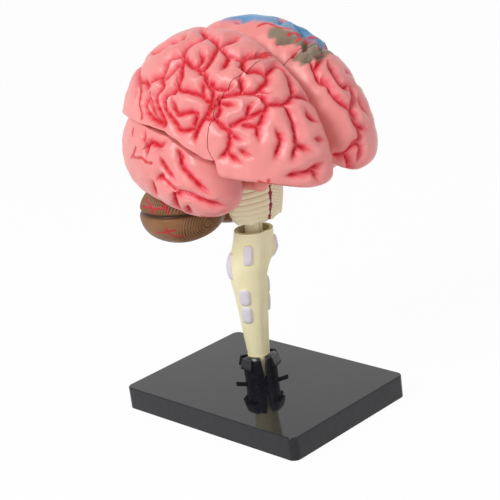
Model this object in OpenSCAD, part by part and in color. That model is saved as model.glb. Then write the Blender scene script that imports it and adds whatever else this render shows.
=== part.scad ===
// Take-apart model of a human brain on a stand, in millimetres.
// The origin is the middle of the stand's underside, and the forehead looks to -Y.
// A half's form is worked out for the side x > 0 and mirrored for the right one.

/* [Stand] */
// Width of the base plate, across the brain
base_w = 76; // [60:1:100]
// Length of the base plate, front to back
base_l = 108; // [90:1:140]
// Height of the base plate
base_h = 10.7; // [8:0.1:16]
// Radius of the plate's upright corners
base_corner_r = 3.5; // [2:0.5:8]
// Radius of the plate's top edge
base_edge_r = 0.6; // [0.3:0.1:1.5]
// Wall of the hollow base plate
base_wall = 2; // [1.5:0.1:3]
// Height of the collet above the plate
collet_h = 14.5; // [12:0.5:18]
// Outer diameter of the collet
collet_d = 15.6; // [14.6:0.2:20]
// Width of the slots between the collet's prongs
slot_w = 2.2; // [1:0.2:3]

/* [Spinal stem] */
// Diameter of the stem where the collet grips it
stem_d = 10.4; // [9:0.2:11]
// Clearance all round the stem in the collet
stem_clearance = 0.3; // [0.2:0.05:0.5]
// Width of the stem at its open mouth
mouth_d = 17.2; // [15:0.2:20]
// Height of the stem's mouth above the table
mouth_z = 86.5; // [82:0.5:88]
// Wall of the stem at its mouth
mouth_wall = 1.5; // [1.2:0.1:2.5]
// Depth of the hollow behind the mouth
mouth_depth = 12; // [8:1:20]
// How far the mouth stands forward of the collet
mouth_forward = 7; // [5:0.5:8]

/* [Brain stem] */
// Width of the brain stem's two halves at the top
pons_w = 29; // [24:1:32]
// Depth of the brain stem, front to back
pons_l = 20; // [16:1:24]
// Number of cross ridges on the right half
ridge_n = 9; // [6:1:10]
// Height of a cross ridge
ridge_h = 0.6; // [0.3:0.1:1]

/* [Cerebrum] */
// Height of the cerebrum's centre above the table
brain_z = 131; // [129:0.5:135]
// Reach of a half sideways from the midline
half_w = 47.5; // [44:0.5:54]
// Reach of the forehead forward of the centre
front_l = 59; // [54:1:66]
// Reach of the cerebrum back from the centre
back_l = 50; // [46:1:60]
// Height of the crown above the centre
crown_h = 48.5; // [44:0.5:54]
// Depth of the frontal lobe's base below the centre
brow_h = 17; // [15:0.5:20]
// Depth of the furrows between the folds
fold_depth = 2.6; // [1:0.1:3]
// Half the width of a furrow at the surface
fold_w = 2.6; // [1:0.1:3.5]
// Half the width of the gap on the midline
mid_gap = 0.2; // [0.15:0.05:0.5]
// Clearance between pieces that come apart
piece_gap = 0.4; // [0.3:0.05:0.6]
// Half the width of the side furrow where it opens between the lobes
furrow_gap = 0.9; // [0.5:0.1:1.4]

/* [Pegs] */
// Diameter of the locating pegs
peg_d = 4; // [3:0.2:5]
// Length of a peg outside its piece
peg_l = 5; // [4:0.5:7]
// Clearance of a peg in its hole, all round
peg_clearance = 0.15; // [0.1:0.05:0.3]

/* [Cerebellum] */
// Reach of the cerebellum sideways from the midline
cerebellum_w = 35; // [30:1:38]
// Length of the cerebellum, front to back
cerebellum_l = 36; // [32:1:40]
// Height of the cerebellum
cerebellum_h = 29; // [25:1:32]

/* [Hidden] */
// Places are shares of a half's reach, so that they move with it
half_c = [0.23 * half_w, -7, brain_z];
function place(y, z) = [half_c.y + y * (y < 0 ? front_l : back_l), brain_z + z * (z > 0 ? crown_h : brow_h)];
temple_c = [0.55 * half_w, half_c.y + 0.24 * back_l, brain_z - 0.24 * brow_h];
temple_out = 0.46 * half_w;
temple_in = 0.3 * half_w;
temple_l = 0.76 * back_l;
temple_up = 0.5 * crown_h;
temple_down = 0.43 * crown_h;
// The sideways core of each half, and the round block that both cores plug into
core_c = [0, half_c.y - 1, brain_z - 1];
core_r = 0.29 * crown_h;
core_in = 0.46 * half_w;
core_out = half_w - 9.5;
neck_r = 5;
block_r = 10.5;
block_top = brain_z + 0.28 * crown_h;
// The brain stem stands on the stem's rim
pons_z = mouth_z + 2.5;
pons_top = brain_z - 20.4;
pons_c = [0, -mouth_forward - 2];
plug_d = 8;
socket_floor = mouth_z - mouth_depth;
stem_foot = base_h + 0.8;
collet_top = base_h + collet_h;

function clamp(v, a, b) = min(max(v, a), b);
function unit(v) = v / norm(v);

// A point [m, n] of a form's map is m degrees behind and n degrees above its sideways axis
function toward(q) =
    let (rho = norm(q), h = max(rho, 0.0001))
    [cos(rho), sin(rho) * q.x / h, sin(rho) * q.y / h];
function reach(d, a, e) =
    pow(pow(abs(d.x / a.x), e) + pow(abs(d.y / a.y), e) + pow(abs(d.z / a.z), e), -1 / e);

// The half without its temporal lobe
function half_at(q) =
    let (d = toward(q),
         r0 = reach(d, [d.x > 0 ? half_w - half_c.x : 17, d.y < 0 ? front_l : back_l,
                        d.z > 0 ? crown_h : brow_h], 2.1),
         r = d.x < 0 ? min(r0, (half_c.x - mid_gap) / -d.x) : r0,
         p = half_c + r * d,
         droop = 0.2 * max(0, half_c.y - 13 - p.y),
         lift = clamp(-3 * d.z, 0, 1) * 0.22 * clamp(p.y - half_c.y + front_l - 4, 0, 30))
    p + [0, 0, lift - droop];

// The temporal lobe with the back of the head below the side furrow
function temple_at(q) =
    let (d = toward(q),
         r = reach(d, [d.x > 0 ? temple_out : temple_in, temple_l, d.z > 0 ? temple_up : temple_down], 2.3),
         p = temple_c + r * d, s = p.y - temple_c.y)
    p + [s < 0 ? -0.16 * s : -0.26 * s, 0, s < 0 ? 0.24 * s : 0];

// Furrows, each a line of map points, chosen by eye
side_folds = [
    [[-57, 45], [-50, 45], [-43, 44]],
    [[-63, 37], [-63, 34], [-62, 30], [-60, 26], [-54, 27]],
    [[-60, 26], [-60, 16]],
    [[-68, 25], [-70, 18], [-69, 12], [-67, 5]],
    [[-44, 42], [-44, 36], [-43, 30]],
    [[-38, 32], [-46, 25], [-51, 28], [-56, 33], [-62, 34]],
    [[-56, 33], [-55, 38], [-58, 42]],
    [[-46, 25], [-46, 12], [-44, 8]],
    [[-46, 12], [-53, 1]],
    [[-46, 23], [-50, 19], [-54, 17]],
    [[-47, 57], [-49, 45]],
    [[-63, 54], [-60, 49], [-57, 45]],
    [[-48, 59], [-47, 64], [-47, 68], [-53, 69], [-61, 70]],
    [[-47, 59], [-53, 60], [-58, 58], [-62, 62]],
    [[-11, 70], [-16, 64], [-15, 60], [-8, 60], [0, 66]],
    [[-15, 59], [-23, 53], [-27, 49], [-35, 41]],
    [[-6, 60], [-6, 48], [-10, 45], [-22, 44], [-29, 42]],
    [[-8, 36], [-10, 31], [-22, 33], [-26, 28]],
    [[-3, 50], [-5, 44], [-1, 41], [1, 35], [-2, 31], [-7, 29], [-14, 22], [-26, 23]],
    [[0, 66], [10, 63], [10, 57], [14, 52], [22, 48], [20, 44]],
    [[14, 52], [7, 48], [10, 43], [12, 38], [6, 32], [-4, 22]],
    [[32, 50], [31, 43], [29, 36], [27, 25]],
    [[28, 36], [24, 33], [17, 28], [6, 23]],
    [[60, 62], [50, 57], [42, 50], [34, 47]],
    [[34, 63], [27, 65], [15, 67]],
    [[26, 72], [20, 78]],
    [[0, 66], [5, 70], [1, 74], [-7, 75]],
    [[-23, 58], [-21, 64], [-22, 70], [-20, 76], [-30, 82]],
    [[-36, 57], [-34, 64], [-31, 70], [-41, 69], [-46, 75]],
    [[-29, 52], [-37, 48], [-43, 49], [-46, 55]],
    [[64, 52], [66, 40], [58, 30]],
    [[84, 55], [86, 42], [80, 30]],
    [[45, 78], [60, 78], [74, 70]],
    [[28, 92], [48, 94]],
    [[-12, 92], [8, 94]]
];
right_folds = [
    [[-58, 63], [-64, 63], [-72, 58], [-77, 50], [-79, 44], [-88, 46]],
    [[-79, 44], [-73, 39], [-68, 39], [-63, 38], [-61, 42], [-57, 45]],
    [[-72, 38], [-76, 31], [-78, 23], [-79, 14], [-85, 11]],
    [[-79, 14], [-74, 3]],
    [[-83, 36], [-85, 30], [-89, 27], [-94, 27]],
    [[-89, 4], [-84, 0], [-75, -4], [-68, -6]]
];
left_folds = [
    [[-71, 61], [-78, 51], [-84, 43], [-85, 28], [-88, 19], [-91, 9], [-95, 1]],
    [[-66, 57], [-73, 49], [-78, 42], [-71, 30]],
    [[-78, 36], [-82, 31], [-83, 25], [-83, 18], [-80, 12]],
    [[-84, 14], [-88, 5], [-90, -3], [-92, -8]],
    [[-72, 38], [-74, 28], [-72, 20]],
    [[-64, 75], [-59, 70], [-61, 66]]
];
temple_folds = [
    [[-46, 34], [-49, 28], [-52, 21], [-57, 13], [-61, 6], [-71, -2]],
    [[-27, 22], [-34, 13], [-41, 7], [-47, 3]],
    [[-24, -5], [-25, 3], [-34, -4], [-42, -9], [-58, -11], [-70, -13], [-79, -17]],
    [[-3, 15], [-4, 26], [-9, 31], [-21, 31], [-31, 37]],
    [[1, 44], [4, 35], [2, 26]],
    [[60, 38], [62, 20], [52, 2]],
    [[85, 30], [88, 10], [78, -8]],
    [[30, -18], [10, -26], [-12, -28]],
    [[36, 20], [30, 4], [14, -6]]
];

// The seams in side view, as places: between the front and the crown, and along the side furrow
front_seam = [for (q = [[-0.49, -1.82], [-0.49, -0.29], [-0.46, 0.04], [-0.42, 0.14], [-0.42, 0.35],
                        [-0.44, 0.52], [-0.49, 0.64], [-0.56, 0.78], [-0.64, 0.89], [-0.73, 1.22]])
                 place(q.x, q.y)];
side_seam = [for (q = [[-0.46, -0.41], [-0.37, -0.06], [-0.32, 0.08], [-0.19, 0.19], [-0.08, 0.27],
                       [0.06, 0.31], [0.44, 0.33], [1.54, 0.29]])
                place(q.x, q.y)];

// A closed form of rings, each ring a list of points, with a point at either end
module ring_form(rings, pole_a, pole_b) {
    k = len(rings);
    n = len(rings[0]);
    faces = concat(
        [for (i = [0 : k - 2], j = [0 : n - 1]) each
            [[i * n + j, (i + 1) * n + (j + 1) % n, (i + 1) * n + j],
             [i * n + j, i * n + (j + 1) % n, (i + 1) * n + (j + 1) % n]]],
        [for (j = [0 : n - 1]) [k * n, (j + 1) % n, j]],
        [for (j = [0 : n - 1]) [k * n + 1, (k - 1) * n + j, (k - 1) * n + (j + 1) % n]]);
    polyhedron(concat([for (r = rings) each r], [pole_a, pole_b]), faces, convexity = 8);
}
function map_ring(rho, n) = [for (j = [0 : n - 1]) rho * [cos(j * 360 / n), sin(j * 360 / n)]];
half_rhos = [for (r = [10 : 11.25 : 100]) r, 111, 124, 145];
temple_rhos = [for (r = [14 : 15 : 90]) r, 104, 124, 150];

// Each form is brought to its exact reach after its furrows are cut
module carved_half(folds)
    resize([half_w - mid_gap, 0, 0]) difference() {
        ring_form([for (r = half_rhos) [for (q = map_ring(r, 31)) half_at(q)]],
                  half_at([0, 0]), half_at([179.9, 0]));
        for (f = folds) furrow([for (q = f) half_at(q)], half_c);
    }
module carved_temple()
    resize([0, 2 * temple_l, 0]) difference() {
        ring_form([for (r = temple_rhos) [for (q = map_ring(r, 22)) temple_at(q)]],
                  temple_at([0, 0]), temple_at([179.9, 0]));
        for (f = temple_folds) furrow([for (q = f) temple_at(q)], temple_c);
    }

// A furrow is a run of wedges hung from the surface, shallow at both ends
function wedge(p, out, along, deep) =
    let (side = unit(cross(along, out)))
    [p + side * fold_w * 1.2 + out * 1.6, p - side * fold_w * 1.2 + out * 1.6,
     p - side * fold_w * 0.3 - out * deep, p + side * fold_w * 0.3 - out * deep];
module furrow(pts, centre) {
    last = len(pts) - 1;
    rings = [for (i = [0 : last])
        let (along = unit(pts[min(i + 1, last)] - pts[max(i - 1, 0)]),
             out0 = unit(pts[i] - centre), out = unit(out0 - along * (out0 * along)))
        wedge(pts[i], out, along, i == 0 || i == last ? fold_depth * 0.35 : fold_depth)];
    sides = [for (i = [0 : last - 1], k = [0 : 3]) each
        [[4 * i + k, 4 * i + (k + 1) % 4, 4 * i + 4 + k],
         [4 * i + (k + 1) % 4, 4 * i + 4 + (k + 1) % 4, 4 * i + 4 + k]]];
    caps = [[0, 3, 2], [0, 2, 1], [4 * last, 4 * last + 1, 4 * last + 2], [4 * last, 4 * last + 2, 4 * last + 3]];
    polyhedron([for (r = rings) each r], concat(sides, caps), convexity = 6);
}
function in_front(f) = min([for (q = f) q.x]) < -28;
function behind(f) = max([for (q = f) q.x]) > -64 && max([for (q = f) q.y]) > 14;

// A region of the side view, as a block that reaches past one half
module side_block(outline)
    translate([-1, 0, 0]) rotate([90, 0, 90]) linear_extrude(half_w + 12) polygon(outline);
module front_region()
    side_block(concat([for (q = front_seam) [q.x - piece_gap / 2, q.y]], [place(-1.5, 1.22), place(-1.5, -1.82)]));
module crown_region()
    side_block(concat([for (i = [2 : len(front_seam) - 1]) front_seam[i] + [piece_gap / 2, 0]], [place(1.54, 1.22)],
                      [for (i = [len(side_seam) - 1 : -1 : 0]) side_seam[i] + [0, furrow_gap]]));
module temple_region()
    side_block(concat([for (q = side_seam) q - [0, furrow_gap]], [place(1.54, -2.4), place(-0.73, -2.4), place(-0.73, -0.65)]));

// The core pocket, the block pocket and the peg holes share these solids, each grown by g
module core_solid(g = 0) {
    translate([core_in - g, core_c.y, core_c.z]) rotate([0, 90, 0]) cylinder(h = core_out - core_in - 3 + g, r = core_r + g);
    translate([core_out - 3, core_c.y, core_c.z]) rotate([0, 90, 0]) cylinder(h = 3 + g, r1 = core_r + g, r2 = core_r - 3);
    translate([block_r + piece_gap - g, core_c.y, core_c.z]) rotate([0, 90, 0])
        cylinder(h = core_in - block_r, r = neck_r + g);
}
module peg(at, axis, len, g = 0)
    translate(at) rotate(axis) cylinder(h = len + g, d = peg_d + 2 * g, $fn = 32);
up = [0, 0, 0];
down = [180, 0, 0];
forward = [90, 0, 0];
inward = [0, -90, 0];
core_peg_x = (core_in + core_out) / 2;
front_pegs = [for (q = [[0.55, 0.41], [0.25, 0.58]]) [q.x * half_w, place(0, q.y).y]];
mid_pegs = [place(0.22, 0.72), place(0.62, 0.54)];
function seam_y(z) = lookup(z, [for (q = front_seam) [q.y, q.x]]);

module core_pegs(g = 0) {
    peg([core_peg_x, core_c.y, core_c.z + core_r - 2], up, peg_l + 2, g);
    peg([core_peg_x, core_c.y, core_c.z - core_r + 2], down, peg_l + 2, g);
}
module seam_pegs(g = 0)
    for (q = front_pegs) peg([q.x, seam_y(q.y) + 4, q.y], forward, peg_l + 4, g);
module mid_peg_row(g = 0)
    for (q = mid_pegs) peg([5, q.x, q.y], inward, peg_l + 5, g);

// The hippocampus is a bent rod, and its bed in the temporal lobe is the same rod grown
rod_r = 3.6;
rod_bend = 0.94 * back_l;
rod_c = [0.36 * half_w - rod_bend, half_c.y - 7, brain_z - 16];
rod_from = -19;
rod_to = 28;
module rod(g = 0) {
    translate(rod_c) rotate([0, 0, rod_from]) rotate_extrude(angle = rod_to - rod_from, $fn = 96)
        translate([rod_bend, 0]) circle(r = rod_r + g, $fn = 24);
    for (a = [rod_from, rod_to])
        translate(rod_c + rod_bend * [cos(a), sin(a), 0]) sphere(r = rod_r + 0.6 + g, $fn = 24);
}

// The cerebellum's half, with the cross furrow that parts its upper and lower lobes
cere_c = [0.43 * cerebellum_w, half_c.y + 0.56 * back_l, brain_z - 34];
cere_rhos = [for (r = [14 : 13 : 92]) r, 108, 132];
function cere_at(q) =
    let (d = toward(q),
         r0 = reach(d, [cerebellum_w - cere_c.x, cerebellum_l / 2, cerebellum_h / 2], 2.2),
         r = d.x < 0 ? min(r0, (cere_c.x - mid_gap) / -d.x) : r0,
         lobe = 1.6 * pow(max(0, 1 - abs(q.y + 6) / 9), 2) * (norm(q) < 100 ? 1 : 0))
    cere_c + (r - lobe) * d;
module cere_form()
    ring_form([for (r = cere_rhos) [for (q = map_ring(r, 26)) cere_at(q)]],
              cere_at([0, 0]), cere_at([179.9, 0]));

module cere_bay()
    translate([-1, cere_c.y, cere_c.z]) rotate([90, 0, 90]) linear_extrude(cerebellum_w + 2)
        polygon([for (a = [0 : 15 : 345])
                 let (r = reach([0, cos(a), sin(a)], [1, cerebellum_l / 2 + 1.2, cerebellum_h / 2 + 1.2], 2.2))
                 r * [cos(a), sin(a)]]);

module block_bay()
    translate([0, core_c.y, pons_top]) cylinder(h = block_top - pons_top + piece_gap, r = block_r + piece_gap);
module stem_bay()
    translate([-1, pons_c.y - 1.5 - pons_l / 2 - 1, pons_z]) cube([pons_w / 2 + 2.2, pons_l + 2.6, pons_top - pons_z + 0.6]);
// Each cerebellum half plugs into the brain stem half before it
module cere_peg(g = 0)
    peg([pons_w / 4, cere_c.y - cerebellum_l / 2 + 8, cere_c.z + 2], forward, 11 + peg_l, g);

module frontal_lobe(folds) difference() {
    intersection() {
        carved_half([for (f = folds) if (in_front(f)) f]);
        front_region();
    }
    seam_pegs(peg_clearance);
}
module parietal_lobe(folds) difference() {
    intersection() {
        carved_half([for (f = folds) if (behind(f)) f]);
        crown_region();
    }
    core_solid(piece_gap);
    core_pegs(peg_clearance);
    block_bay();
}
module temporal_lobe() difference() {
    intersection() {
        carved_temple();
        temple_region();
    }
    core_solid(piece_gap);
    core_pegs(peg_clearance);
    rod(piece_gap);
    cere_bay();
    block_bay();
    stem_bay();
}
module insula() {
    core_solid();
    core_pegs();
    peg([block_r + 3, core_c.y, core_c.z], inward, peg_l + 2.4);
}
module half_of(side) {
    if (side < 0) mirror([1, 0, 0]) children();
    else children();
}

// The brain stem's half: rings from the rim up to the block, ridged on one side
function pons_ring(f, ridge) =
    let (z = pons_z + f * (pons_top - pons_z),
         w = pons_w / 2 * (0.8 + 0.2 * sin(min(1, f * 1.6) * 90)),
         l = pons_l / 2 * (0.85 + 0.15 * sin(min(1, f * 1.6) * 90)),
         k = 1 + ridge)
    [for (a = [90 : -15 : -90]) [max(mid_gap, k * w * cos(a)), pons_c.y - 1.5 * f + k * l * sin(a), z]];
module brainstem_half(ridged) difference() {
    union() {
        rows = ridged ? [for (i = [0 : 2 * ridge_n]) pons_ring(i / (2 * ridge_n), i % 2 == 1 ? 2 * ridge_h / pons_w : 0)]
                      : [for (i = [0 : 6]) pons_ring(i / 6, 0)];
        lo = rows[0];
        hi = rows[len(rows) - 1];
        ring_form(rows, [pons_w / 4, pons_c.y, lo[0].z], [pons_w / 4, pons_c.y - 1.5, hi[0].z]);
        intersection() {
            translate([0, -mouth_forward, socket_floor + piece_gap]) cylinder(h = pons_z - socket_floor, d = plug_d);
            translate([mid_gap, -mouth_forward - plug_d, 0]) cube([plug_d, 2 * plug_d, pons_z + 5]);
        }
    }
    cere_peg(peg_clearance);
}
module base_slab(h, grow) {
    w = base_w / 2 - base_corner_r;
    l = base_l / 2 - base_corner_r;
    linear_extrude(h) union() {
        square([2 * w, 2 * l + 2 * (base_corner_r + grow)], center = true);
        square([2 * w + 2 * (base_corner_r + grow), 2 * l], center = true);
        for (x = [-w, w], y = [-l, l]) translate([x, y]) circle(r = base_corner_r + grow, $fn = 48);
    }
}
boss_d = 16;
spigot_d = 9;
module base_plate() color("#2b2b2f") difference() {
    w = base_w / 2 - base_corner_r;
    l = base_l / 2 - base_corner_r;
    edge_z = base_h - base_edge_r;
    union() {
        difference() {
            base_slab(edge_z, 0);
            translate([0, 0, -1]) base_slab(base_h - base_wall + 1, -base_wall);
        }
        translate([0, 0, base_h - base_wall]) base_slab(base_wall, -base_edge_r);
        for (x = [-w, w], y = [-l, l]) translate([x, y, edge_z])
            rotate_extrude($fn = 48) translate([base_corner_r - base_edge_r, 0]) circle(r = base_edge_r, $fn = 24);
        for (x = [-1, 1]) translate([x * (base_w / 2 - base_edge_r), l, edge_z]) rotate([90, 0, 0])
            cylinder(h = 2 * l, r = base_edge_r, $fn = 24);
        for (y = [-1, 1]) translate([-w, y * (base_l / 2 - base_edge_r), edge_z]) rotate([0, 90, 0])
            cylinder(h = 2 * w, r = base_edge_r, $fn = 24);
        cylinder(h = base_h - 1, d = boss_d);
    }
    translate([0, 0, -1]) cylinder(h = base_h + 2, d = spigot_d + 2 * peg_clearance);
}
// Four springy prongs with snap heads on a round foot, and a bladed wing under them
prong_foot = 3.5;
head_z = base_h + 6.5;
module stand_collet() color("#1d1d20") difference() {
    union() {
        cylinder(h = base_h + 1, d = spigot_d);
        rotate([0, 0, 30]) translate([0, 0, base_h]) rotate_extrude($fn = 96)
            polygon([[0, 0], [collet_d / 2, 0], [collet_d / 2, collet_h - 1.5], [collet_d / 2 - 1.2, collet_h], [0, collet_h]]);
        for (a = [0 : 90 : 270]) rotate([0, 0, a]) translate([0, 3.2, 0]) rotate([90, 0, 0])
            linear_extrude(6.4) polygon([[collet_d / 2 - 1.5, head_z], [collet_d / 2 + 2, head_z],
                                         [collet_d / 2 - 0.5, head_z + 5], [collet_d / 2 - 1.5, head_z + 5]]);
        rotate([0, 0, -36]) translate([0, 0, base_h]) linear_extrude(1.6)
            polygon([[-12.4, 0], [-4, 2.2], [4, 2.2], [12.4, 0], [4, -2.2], [-4, -2.2]]);
    }
    rotate([0, 0, 30]) translate([0, 0, stem_foot - 0.4]) cylinder(h = collet_h + 2, d = stem_d + 2 * stem_clearance);
    for (a = [45, 135]) rotate([0, 0, a]) translate([-collet_d, -slot_w / 2, base_h + prong_foot])
        cube([2 * collet_d, slot_w, collet_h]);
}
// The stem: [share of the height, share of the widening]
stem_shape = [[0, -0.06], [0.16, 0.06], [0.33, 0.2], [0.5, 0.42], [0.62, 0.68], [0.72, 0.95], [0.8, 1.02],
              [0.88, 0.94], [0.95, 0.96], [1, 1]];
stem_z0 = collet_top - 0.5;
function stem_r(f) = (stem_d + (mouth_d - stem_d) * lookup(f, stem_shape)) / 2;
function stem_y(f) = -mouth_forward * pow(f, 1.4);
function stem_ring(f, cut) =
    [for (a = [345 : -15 : 0]) let (r = stem_r(f) - cut, groove = cut > 0 ? 0 : 0.9 * max(0, 1 - abs(a - 270) / 22) * min(1, 2 * f))
        [(r - groove) * cos(a), stem_y(f) + (r - groove) * sin(a), stem_z0 + f * (mouth_z - stem_z0)]];
// Raised pads, as [angle, height share, half its height]
pads = [[224, 0.83, 6], [316, 0.86, 6.5], [145, 0.74, 6.5], [35, 0.74, 6.5],
        [190, 0.5, 4.6], [190, 0.35, 4.2], [340, 0.55, 4.2], [340, 0.4, 4.2]];
module spinal_stem() color("#e8dfb6") difference() {
    union() {
        translate([0, 0, stem_foot]) cylinder(h = stem_z0 - stem_foot + 0.8, d = stem_d);
        ring_form([for (s = stem_shape) stem_ring(s[0], 0)], [0, 0, stem_z0], [0, -mouth_forward, mouth_z]);
        for (p = pads) translate([(stem_r(p[1]) - 0.5) * cos(p[0]), stem_y(p[1]) + (stem_r(p[1]) - 0.5) * sin(p[0]),
                                  stem_z0 + p[1] * (mouth_z - stem_z0)])
            rotate([0, 0, p[0]]) resize([3, 5.4, 2 * p[2]]) sphere(r = 3, $fn = 8);
    }
    f0 = 1 - mouth_depth / (mouth_z - stem_z0);
    hollow = [for (f = [f0, f0 + (1 - f0) / 2, 1]) stem_ring(f, mouth_wall)];
    rim = [for (q = hollow[2]) q + [0, 0, 1]];
    ring_form(concat(hollow, [rim]), [0, stem_y(f0), hollow[0][0].z], [0, -mouth_forward, mouth_z + 1]);
}
module thalamus_block() color("#c9a08f") difference() {
    translate([0, core_c.y, 0]) rotate_extrude($fn = 72) polygon(concat(
        [[0, pons_top + 0.3], [block_r - 2, pons_top + 0.3], [block_r, pons_top + 3], [block_r, block_top - 7]],
        [for (a = [15 : 15 : 75]) [block_r - 7 + 7 * cos(a), block_top - 7 + 7 * sin(a)]], [[0, block_top]]));
    translate([-block_r - 1, core_c.y, core_c.z]) rotate([0, 90, 0])
        cylinder(h = 2 * block_r + 2, d = peg_d + 2 * peg_clearance, $fn = 32);
}
module brainstem_right() color("#e6d9ae") half_of(-1) brainstem_half(true);
module brainstem_left() color("#e6d9ae") half_of(1) brainstem_half(false);
module insula_right() color("#a8544a") half_of(-1) insula();
module insula_left() color("#a8544a") half_of(1) insula();
module hippocampus_right() color("#f0938a") half_of(-1) rod();
module hippocampus_left() color("#f0938a") half_of(1) rod();
module frontal_lobe_right() color("#f4a29b") half_of(-1) frontal_lobe(concat(side_folds, right_folds));
module frontal_lobe_left() color("#f4a29b") half_of(1) frontal_lobe(concat(side_folds, left_folds));
module parietal_lobe_right() color("#f4a29b") half_of(-1) {
    parietal_lobe(side_folds);
    seam_pegs();
    mid_peg_row();
}
module parietal_lobe_left() color("#f4a29b") difference() {
    union() {
        parietal_lobe(side_folds);
        seam_pegs();
    }
    half_of(-1) mid_peg_row(peg_clearance);
}
module temporal_lobe_right() color("#f4a29b") half_of(-1) temporal_lobe();
module temporal_lobe_left() color("#f4a29b") half_of(1) temporal_lobe();
module cerebellum_half() {
    cere_form();
    cere_peg();
}
module cerebellum_right() color("#7d5a41") half_of(-1) cerebellum_half();
module cerebellum_left() color("#7d5a41") half_of(1) cerebellum_half();

base_plate();
stand_collet();
spinal_stem();
brainstem_right();
brainstem_left();
thalamus_block();
insula_right();
insula_left();
hippocampus_right();
hippocampus_left();
frontal_lobe_right();
parietal_lobe_right();
temporal_lobe_right();
frontal_lobe_left();
parietal_lobe_left();
temporal_lobe_left();
cerebellum_right();
cerebellum_left();
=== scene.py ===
# %% [markdown]
# # A take-apart brain model on its stand
# The real object is a desk model in painted PVC: pink lobes with crimson furrows, a brown
# cerebellum, a cream brain stem on a cream cord, and a glossy black stand. The solid model is
# loaded first as a fixed frame, because every visible piece has to sit exactly where its solid is.

# %% Load the frame
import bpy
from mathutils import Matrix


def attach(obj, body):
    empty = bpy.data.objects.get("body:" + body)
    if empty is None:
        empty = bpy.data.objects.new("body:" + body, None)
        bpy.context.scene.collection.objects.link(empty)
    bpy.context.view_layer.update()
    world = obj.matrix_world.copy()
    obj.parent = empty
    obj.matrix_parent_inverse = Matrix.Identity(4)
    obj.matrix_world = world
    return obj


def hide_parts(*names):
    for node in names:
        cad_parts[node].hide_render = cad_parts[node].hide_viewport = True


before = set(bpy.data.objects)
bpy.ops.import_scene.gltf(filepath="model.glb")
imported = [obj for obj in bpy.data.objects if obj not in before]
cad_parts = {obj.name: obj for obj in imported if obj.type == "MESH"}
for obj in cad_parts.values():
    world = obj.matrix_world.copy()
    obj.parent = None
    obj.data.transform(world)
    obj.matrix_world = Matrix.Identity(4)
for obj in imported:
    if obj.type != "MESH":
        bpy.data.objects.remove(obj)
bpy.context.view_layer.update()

# %% [markdown]
# ## Tools and units
# Blender counts in metres, and the sizes of this model are in millimetres, so one factor stands for
# the step between them. numpy moves many points at once, and bmesh builds and mends meshes.

# %% The tools of this lesson
import math
import bmesh
import bpy
import numpy as np
from mathutils import Matrix, Vector, kdtree

MM = 0.001
print("one millimetre is", MM, "metres")

# %% [markdown]
# ## The camera
# The photograph looks at the front right of the brain from slightly above, through a longish lens,
# and the camera was tilted, so that upright lines lean to the left. Its place was worked out from
# the corners of the plate. A camera is built from three directions: where it looks, what is right
# in its picture, and what is up. That is easier to trust than three angles given one by one.

# %% Stand the camera at the photograph's view
AIM_POINT = (35.25, 34.03, 58.4)
CAMERA_TURN, CAMERA_RISE, CAMERA_LEAN = -43.70, 18.66, -7.26
CAMERA_DISTANCE, CAMERA_LENS = 683.645, 100.8

def aim_camera():
    turn, rise, lean = (math.radians(v) for v in (CAMERA_TURN, CAMERA_RISE, CAMERA_LEAN))
    back = Vector((math.sin(turn) * math.cos(rise), -math.cos(turn) * math.cos(rise), math.sin(rise)))
    right = Vector((0, 0, 1)).cross(back).normalized()
    up = back.cross(right)
    tilted_right = right * math.cos(lean) + up * math.sin(lean)
    tilted_up = up * math.cos(lean) - right * math.sin(lean)
    data = bpy.data.cameras.new("photo_camera")
    data.lens = CAMERA_LENS
    data.clip_end = 10
    camera = bpy.data.objects.new("photo_camera", data)
    bpy.context.scene.collection.objects.link(camera)
    turned = Matrix((tilted_right, tilted_up, back)).transposed().to_4x4()
    place = Vector(AIM_POINT) * MM + back * CAMERA_DISTANCE * MM
    camera.matrix_world = Matrix.Translation(place) @ turned
    return camera

bpy.context.scene.view_settings.view_transform = "Standard"
bpy.context.scene.camera = aim_camera()
print("camera at", [round(v, 3) for v in bpy.context.scene.camera.matrix_world.translation])

# %% [markdown]
# ## Studio light
# The photograph is a cut-out on white, lit softly from the left and above. A large lamp there shapes
# the folds, a weaker one in front opens the shadows, and a white world fills the rest. The world
# shines weakly on the pieces but is plain white where the camera or a glossy piece sees it.

# %% Lamps
LIT_POINT = (0, 0, 0.11)

def soft_lamp(name, place, size, power):
    data = bpy.data.lights.new(name, "AREA")
    data.size = size
    data.energy = power
    lamp = bpy.data.objects.new(name, data)
    bpy.context.scene.collection.objects.link(lamp)
    lamp.location = place
    lamp.rotation_euler = (Vector(LIT_POINT) - Vector(place)).to_track_quat("-Z", "Y").to_euler()

soft_lamp("key_lamp", (-0.95, 0.0, 0.85), 0.5, 9.0)
soft_lamp("fill_lamp", (0.1, -1.0, 0.45), 0.6, 1.2)
print(len(bpy.data.lights), "lamps hung")

# %% White world
FILL_STRENGTH = 0.47

def any_ray(nodes, links, *kinds):
    """One for rays of any of these kinds, and zero for the others."""
    path = nodes.new("ShaderNodeLightPath")
    found = path.outputs[kinds[0]]
    for kind in kinds[1:]:
        either = nodes.new("ShaderNodeMath")
        either.operation = "MAXIMUM"
        links.new(found, either.inputs[0])
        links.new(path.outputs[kind], either.inputs[1])
        found = either.outputs[0]
    return found

def white_background(nodes, strength):
    background = nodes.new("ShaderNodeBackground")
    background.inputs["Strength"].default_value = strength
    background.inputs["Color"].default_value = (1, 1, 1, 1)
    return background.outputs[0]

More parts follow.
